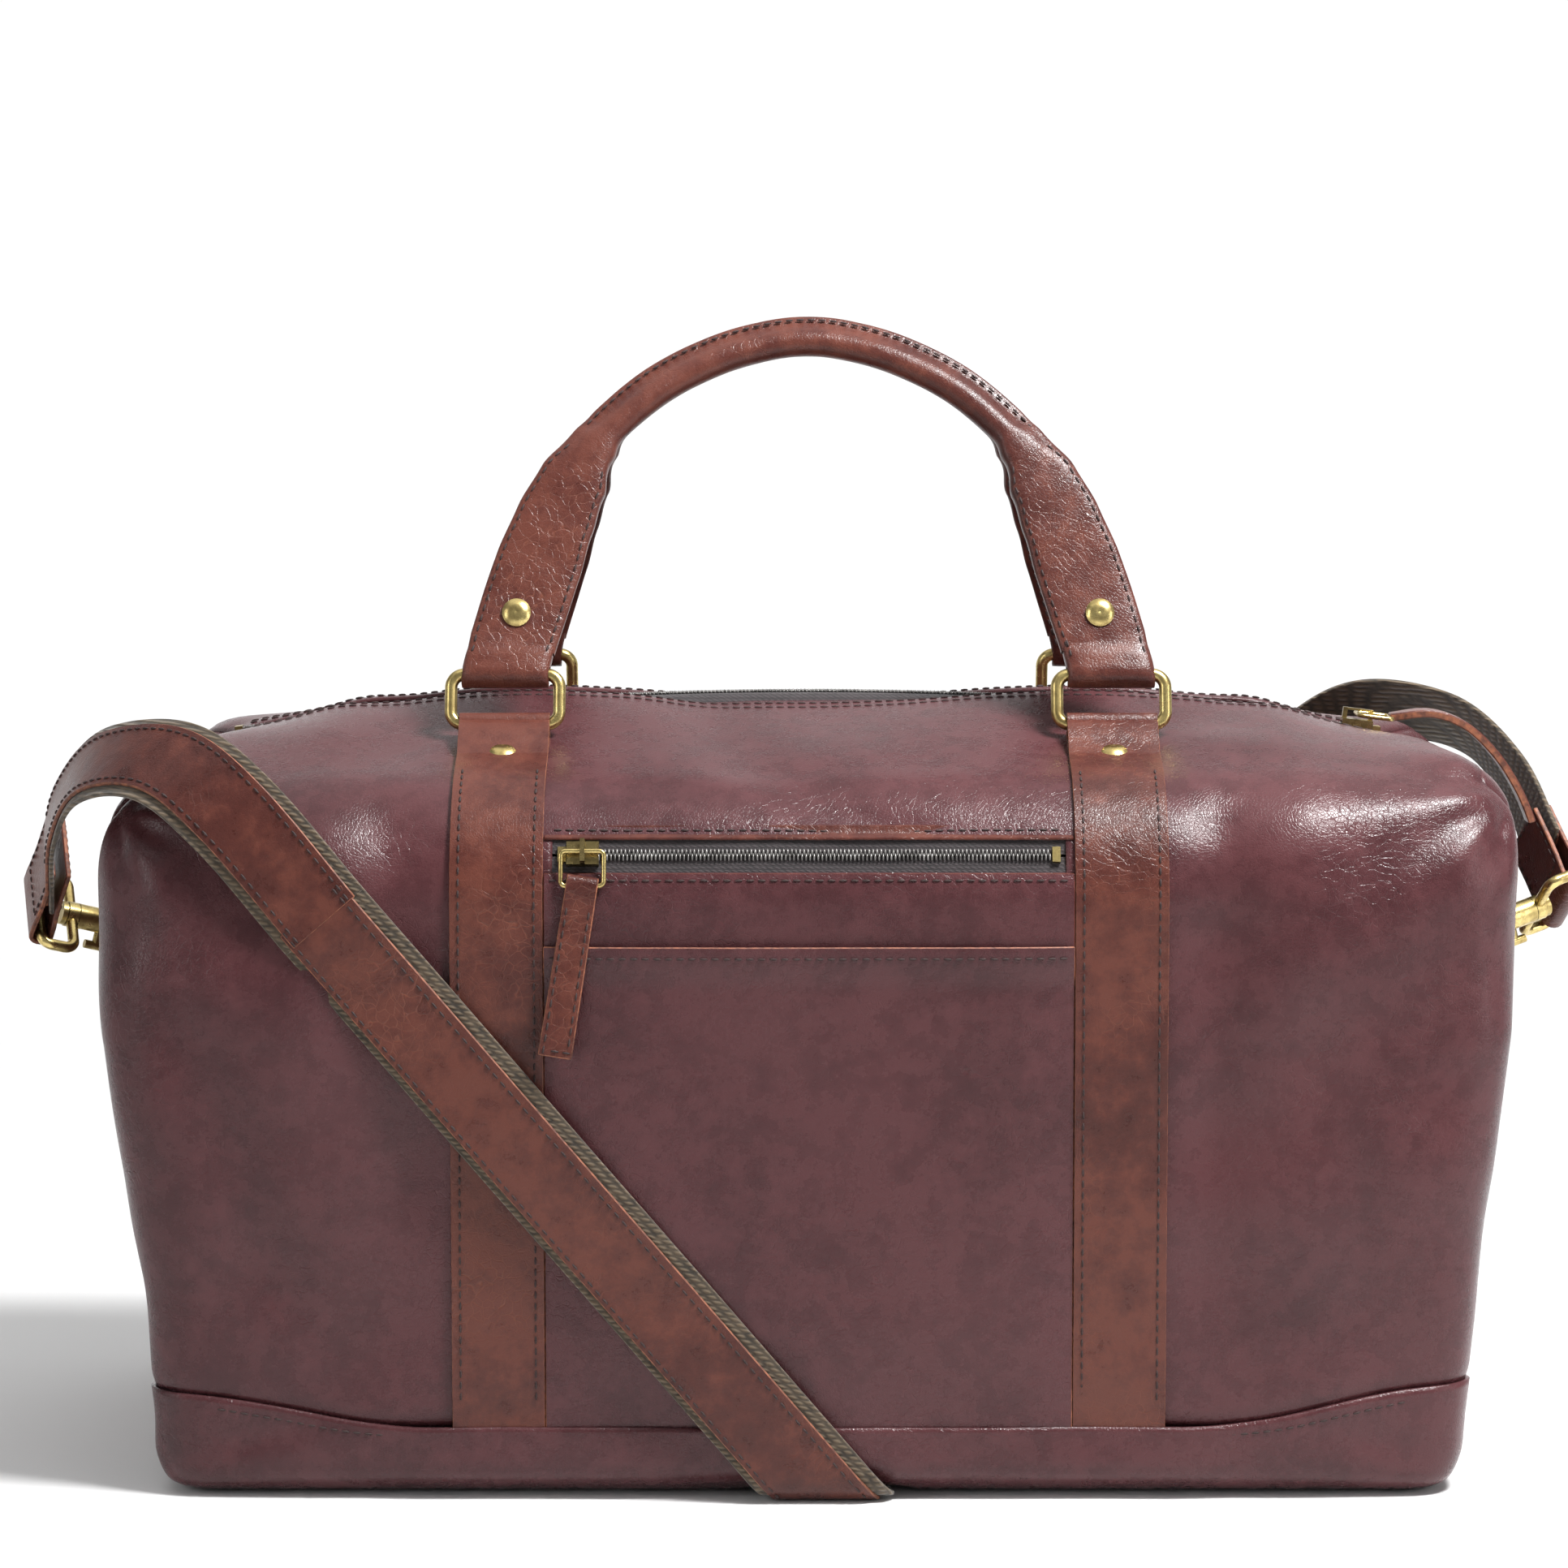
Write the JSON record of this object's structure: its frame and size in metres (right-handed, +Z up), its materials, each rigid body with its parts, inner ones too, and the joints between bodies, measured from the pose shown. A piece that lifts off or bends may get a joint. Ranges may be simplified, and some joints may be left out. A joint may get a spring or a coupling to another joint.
{
  "type": "weekender bag",
  "caption": "Soft leather holdall with twin rolled handles on rings, an arched zip top, a front zip pocket over a slip pocket, and a clip-on shoulder strap.",
  "frame": {"origin": "centre of the base, on the surface that the bag stands on", "axes": "+X along the bag's length to the right of someone facing its pocket side, -Y out of the pocket side, +Z up"},
  "size_m": [0.6194, 0.2818, 0.4406],
  "materials": {
    "body_leather": "semi-gloss, lightly grained burgundy-brown leather with a pull-up sheen",
    "strap_leather": "semi-gloss, creased red-brown leather",
    "brass": "satin antique brass",
    "zip_coil": "dark grey nylon coil",
    "zip_tape": "black-brown woven zip tape",
    "webbing": "olive-brown cotton webbing",
    "lining": "brown lining cloth",
    "board": "stiff base board",
    "cord": "twisted cord"
  },
  "bodies": {
    "bag": {"base_board": "board", "base_panel": "body_leather", "cabin_lining": "lining", "front_panel": "body_leather", "front_pocket_bag": "lining", "front_pocket_facing": "strap_leather", "front_pocket_panel": "body_leather", "front_pocket_welt": "strap_leather", "front_strap_left": "strap_leather", "front_strap_right": "strap_leather", "left_end_panel": "body_leather", "left_end_tab": "strap_leather", "left_strap_end": "webbing", "main_zip_coil_front": "zip_coil", "main_zip_coil_rear": "zip_coil", "main_zip_stops": "brass", "main_zip_tape_front": "zip_tape", "main_zip_tape_rear": "zip_tape", "pocket_zip_coil_lower": "zip_coil", "pocket_zip_coil_upper": "zip_coil", "pocket_zip_stops": "brass", "pocket_zip_tape_lower": "zip_tape", "pocket_zip_tape_upper": "zip_tape", "rear_panel": "body_leather", "rear_strap_left": "strap_leather", "rear_strap_right": "strap_leather", "right_end_panel": "body_leather", "right_end_tab": "strap_leather", "right_strap_end": "webbing", "shoulder_strap_leather": "strap_leather", "shoulder_strap_webbing": "webbing", "strap_rivets": "brass"},
    "front_ring_left": {"front_ring_left": "brass"},
    "front_ring_right": {"front_ring_right": "brass"},
    "rear_ring_left": {"rear_ring_left": "brass"},
    "rear_ring_right": {"rear_ring_right": "brass"},
    "front_handle": {"front_handle_leather": "strap_leather", "front_handle_core": "cord", "front_handle_rivets": "brass"},
    "rear_handle": {"rear_handle_leather": "strap_leather", "rear_handle_core": "cord", "rear_handle_rivets": "brass"},
    "main_slider": {"main_zip_slider": "brass"},
    "main_pull": {"main_pull_link": "brass", "main_pull_tail": "strap_leather"},
    "pocket_slider": {"pocket_zip_slider": "brass"},
    "pocket_pull": {"pocket_pull_link": "brass", "pocket_pull_tab": "strap_leather"},
    "left_clip": {"left_d_ring": "brass", "left_clip_eye": "brass", "left_strap_chape": "strap_leather"},
    "left_hook": {"left_clip_hook": "brass"},
    "left_bolt": {"left_clip_bolt": "brass"},
    "right_clip": {"right_d_ring": "brass", "right_clip_eye": "brass", "right_strap_chape": "strap_leather"},
    "right_hook": {"right_clip_hook": "brass"},
    "right_bolt": {"right_clip_bolt": "brass"}
  },
  "joints": [
    {"name": "front_ring_left_swing", "type": "hinge", "parent": "bag", "child": "front_ring_left", "pos_m": [-0.116, -0.05964, 0.28609], "axis": [1, 0, 0], "range_deg": [0, 100]},
    {"name": "front_ring_right_swing", "type": "hinge", "parent": "bag", "child": "front_ring_right", "pos_m": [0.116, -0.05964, 0.28609], "axis": [1, 0, 0], "range_deg": [0, 100]},
    {"name": "front_handle_swing", "type": "hinge", "parent": "front_ring_left", "child": "front_handle", "pos_m": [-0.116, -0.05377, 0.30469], "axis": [1, 0, 0], "range_deg": [0, 33]},
    {"name": "rear_ring_left_swing", "type": "hinge", "parent": "bag", "child": "rear_ring_left", "pos_m": [-0.116, 0.05964, 0.28609], "axis": [-1, 0, 0], "range_deg": [0, 100]},
    {"name": "rear_ring_right_swing", "type": "hinge", "parent": "bag", "child": "rear_ring_right", "pos_m": [0.116, 0.05964, 0.28609], "axis": [-1, 0, 0], "range_deg": [0, 100]},
    {"name": "rear_handle_swing", "type": "hinge", "parent": "rear_ring_left", "child": "rear_handle", "pos_m": [-0.116, 0.05377, 0.30469], "axis": [-1, 0, 0], "range_deg": [0, 33]},
    {"name": "main_zip_travel", "type": "hinge", "parent": "bag", "child": "main_slider", "pos_m": [0, 0, -1.404], "axis": [0, -1, 0], "range_deg": [0, 14.65]},
    {"name": "main_pull_swing", "type": "hinge", "parent": "main_slider", "child": "main_pull", "pos_m": [0.21708, 0, 0.28511], "axis": [0, -1, 0], "range_deg": [0, 150]},
    {"name": "pocket_zip_travel", "type": "slide", "parent": "bag", "child": "pocket_slider", "axis": [1, 0, 0], "range_m": [0, 0.1679]},
    {"name": "pocket_pull_swing", "type": "hinge", "parent": "pocket_slider", "child": "pocket_pull", "pos_m": [-0.08395, -0.12495, 0.24476], "axis": [-1, 0, 0], "range_deg": [0, 50]},
    {"name": "left_clip_swing", "type": "hinge", "parent": "bag", "child": "left_clip", "pos_m": [-0.25453, 0, 0.1946], "axis": [0, 1, 0], "range_deg": [0, 20], "deforming": ["left_strap_end"]},
    {"name": "left_hook_swivel", "type": "hinge", "parent": "left_clip", "child": "left_hook", "pos_m": [-0.26884, -0.0006, 0.20021], "axis": [-0.8754, -0.4082, 0.2588], "range_deg": [-15, 15]},
    {"name": "left_bolt_slide", "type": "slide", "parent": "left_hook", "child": "left_bolt", "axis": [-0.8754, -0.4082, 0.2588], "range_m": [0, 0.006], "stiffness_N_per_m": 400, "springref_m": -0.004},
    {"name": "right_clip_swing", "type": "hinge", "parent": "bag", "child": "right_clip", "pos_m": [0.25453, 0, 0.1946], "axis": [0, -1, 0], "range_deg": [0, 20], "deforming": ["right_strap_end"]},
    {"name": "right_hook_swivel", "type": "hinge", "parent": "right_clip", "child": "right_hook", "pos_m": [0.26884, 0.0006, 0.20021], "axis": [0.8754, 0.4082, 0.2588], "range_deg": [-15, 15]},
    {"name": "right_bolt_slide", "type": "slide", "parent": "right_hook", "child": "right_bolt", "axis": [0.8754, 0.4082, 0.2588], "range_m": [0, 0.006], "stiffness_N_per_m": 400, "springref_m": -0.004}
  ],
  "couplings": [
    {"joint": "front_ring_right_swing", "follows": "front_ring_left_swing", "ratio": 1},
    {"joint": "rear_ring_right_swing", "follows": "rear_ring_left_swing", "ratio": 1}
  ]
}
